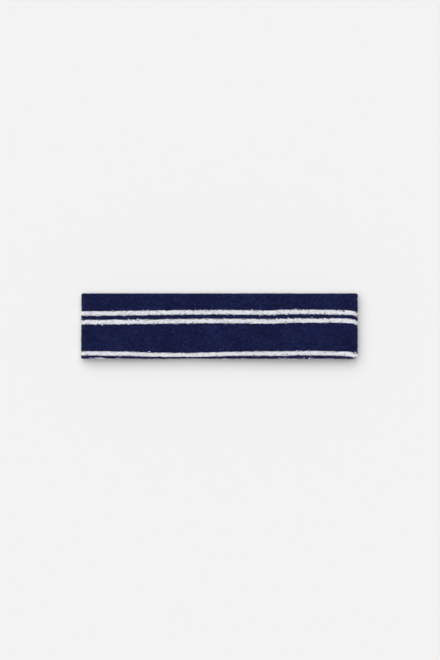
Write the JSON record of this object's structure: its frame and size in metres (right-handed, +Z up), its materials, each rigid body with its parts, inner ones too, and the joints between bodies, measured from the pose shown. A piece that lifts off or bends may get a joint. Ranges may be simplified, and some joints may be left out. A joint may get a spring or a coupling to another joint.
{
  "type": "sports headband",
  "caption": "Elastic terry sports headband, doubled and lying flat as a closed loop, navy with white stripe pairs; opens into a ring.",
  "frame": {"origin": "middle of the underside of the flat loop", "axes": "+X along the flat loop to its right end, +Y across the band towards its upper edge, +Z up out of the front wall"},
  "size_m": [0.21, 0.05, 0.0095],
  "materials": {
    "navy_terry": "navy cotton terry, looped pile",
    "white_terry": "white cotton terry, looped pile",
    "covered_elastic": "elastic core wound with pale yarn",
    "seam_thread": "navy chain-linked thread"
  },
  "bodies": {
    "back_middle": {"back_middle_outer_terry": "navy_terry", "back_middle_white_stripes": "white_terry", "back_middle_inner_terry": "navy_terry", "back_middle_elastic": "covered_elastic", "back_middle_closing_seam": "seam_thread"},
    "back_right": {"back_right_outer_terry": "navy_terry", "back_right_white_stripes": "white_terry", "back_right_inner_terry": "navy_terry", "back_right_elastic": "covered_elastic", "back_right_closing_seam": "seam_thread"},
    "back_left": {"back_left_outer_terry": "navy_terry", "back_left_white_stripes": "white_terry", "back_left_inner_terry": "navy_terry", "back_left_elastic": "covered_elastic", "back_left_closing_seam": "seam_thread"},
    "front_right": {"front_right_outer_terry": "navy_terry", "front_right_white_stripes": "white_terry", "front_right_inner_terry": "navy_terry", "front_right_elastic": "covered_elastic", "front_right_closing_seam": "seam_thread"},
    "front_left": {"front_left_outer_terry": "navy_terry", "front_left_white_stripes": "white_terry", "front_left_inner_terry": "navy_terry", "front_left_elastic": "covered_elastic", "front_left_closing_seam": "seam_thread"},
    "front_middle_right": {"front_middle_right_outer_terry": "navy_terry", "front_middle_right_white_stripes": "white_terry", "front_middle_right_inner_terry": "navy_terry", "front_middle_right_elastic": "covered_elastic", "front_middle_right_closing_seam": "seam_thread"},
    "front_middle_left": {"front_middle_left_outer_terry": "navy_terry", "front_middle_left_white_stripes": "white_terry", "front_middle_left_inner_terry": "navy_terry", "front_middle_left_elastic": "covered_elastic", "front_middle_left_closing_seam": "seam_thread"},
    "right_fold_back": {"right_fold_back_outer_terry": "navy_terry", "right_fold_back_white_stripes": "white_terry", "right_fold_back_inner_terry": "navy_terry", "right_fold_back_elastic": "covered_elastic", "right_fold_back_closing_seam": "seam_thread"},
    "right_fold_front": {"right_fold_front_outer_terry": "navy_terry", "right_fold_front_white_stripes": "white_terry", "right_fold_front_inner_terry": "navy_terry", "right_fold_front_elastic": "covered_elastic", "right_fold_front_closing_seam": "seam_thread"},
    "left_fold_back": {"left_fold_back_outer_terry": "navy_terry", "left_fold_back_white_stripes": "white_terry", "left_fold_back_inner_terry": "navy_terry", "left_fold_back_elastic": "covered_elastic", "left_fold_back_closing_seam": "seam_thread"},
    "left_fold_front": {"left_fold_front_outer_terry": "navy_terry", "left_fold_front_white_stripes": "white_terry", "left_fold_front_inner_terry": "navy_terry", "left_fold_front_elastic": "covered_elastic", "left_fold_front_closing_seam": "seam_thread"}
  },
  "joints": [
    {"name": "loop_open", "type": "hinge", "parent": "back_middle", "child": "back_right", "pos_m": [0.035, 0, 0.0045], "axis": [0, -1, 0], "range_deg": [0, 60]},
    {"name": "back_left_bend", "type": "hinge", "parent": "back_middle", "child": "back_left", "pos_m": [-0.035, 0, 0.0045], "axis": [0, 1, 0], "range_deg": [0, 60]},
    {"name": "right_fold_back_bend", "type": "hinge", "parent": "back_right", "child": "right_fold_back", "pos_m": [0.10025, 0, 0], "axis": [0, 1, 0], "range_deg": [0, 40]},
    {"name": "right_fold_tip_bend", "type": "hinge", "parent": "right_fold_back", "child": "right_fold_front", "pos_m": [0.105, 0, 0.00475], "axis": [0, 1, 0], "range_deg": [0, 40]},
    {"name": "right_fold_front_bend", "type": "hinge", "parent": "right_fold_front", "child": "front_right", "pos_m": [0.10025, 0, 0.0095], "axis": [0, 1, 0], "range_deg": [0, 40]},
    {"name": "front_right_bend", "type": "hinge", "parent": "front_right", "child": "front_middle_right", "pos_m": [0.035, 0, 0.005], "axis": [0, -1, 0], "range_deg": [0, 60]},
    {"name": "left_fold_back_bend", "type": "hinge", "parent": "back_left", "child": "left_fold_back", "pos_m": [-0.10025, 0, 0], "axis": [0, -1, 0], "range_deg": [0, 40]},
    {"name": "left_fold_tip_bend", "type": "hinge", "parent": "left_fold_back", "child": "left_fold_front", "pos_m": [-0.105, 0, 0.00475], "axis": [0, -1, 0], "range_deg": [0, 40]},
    {"name": "left_fold_front_bend", "type": "hinge", "parent": "left_fold_front", "child": "front_left", "pos_m": [-0.10025, 0, 0.0095], "axis": [0, -1, 0], "range_deg": [0, 40]},
    {"name": "front_left_bend", "type": "hinge", "parent": "front_left", "child": "front_middle_left", "pos_m": [-0.035, 0, 0.005], "axis": [0, 1, 0], "range_deg": [0, 60]}
  ],
  "couplings": [
    {"joint": "back_left_bend", "follows": "loop_open", "ratio": 1},
    {"joint": "right_fold_back_bend", "follows": "loop_open", "ratio": 0.66667},
    {"joint": "right_fold_tip_bend", "follows": "loop_open", "ratio": 0.66667},
    {"joint": "right_fold_front_bend", "follows": "loop_open", "ratio": 0.66667},
    {"joint": "front_right_bend", "follows": "loop_open", "ratio": 1},
    {"joint": "left_fold_back_bend", "follows": "loop_open", "ratio": 0.66667},
    {"joint": "left_fold_tip_bend", "follows": "loop_open", "ratio": 0.66667},
    {"joint": "left_fold_front_bend", "follows": "loop_open", "ratio": 0.66667},
    {"joint": "front_left_bend", "follows": "loop_open", "ratio": 1}
  ]
}
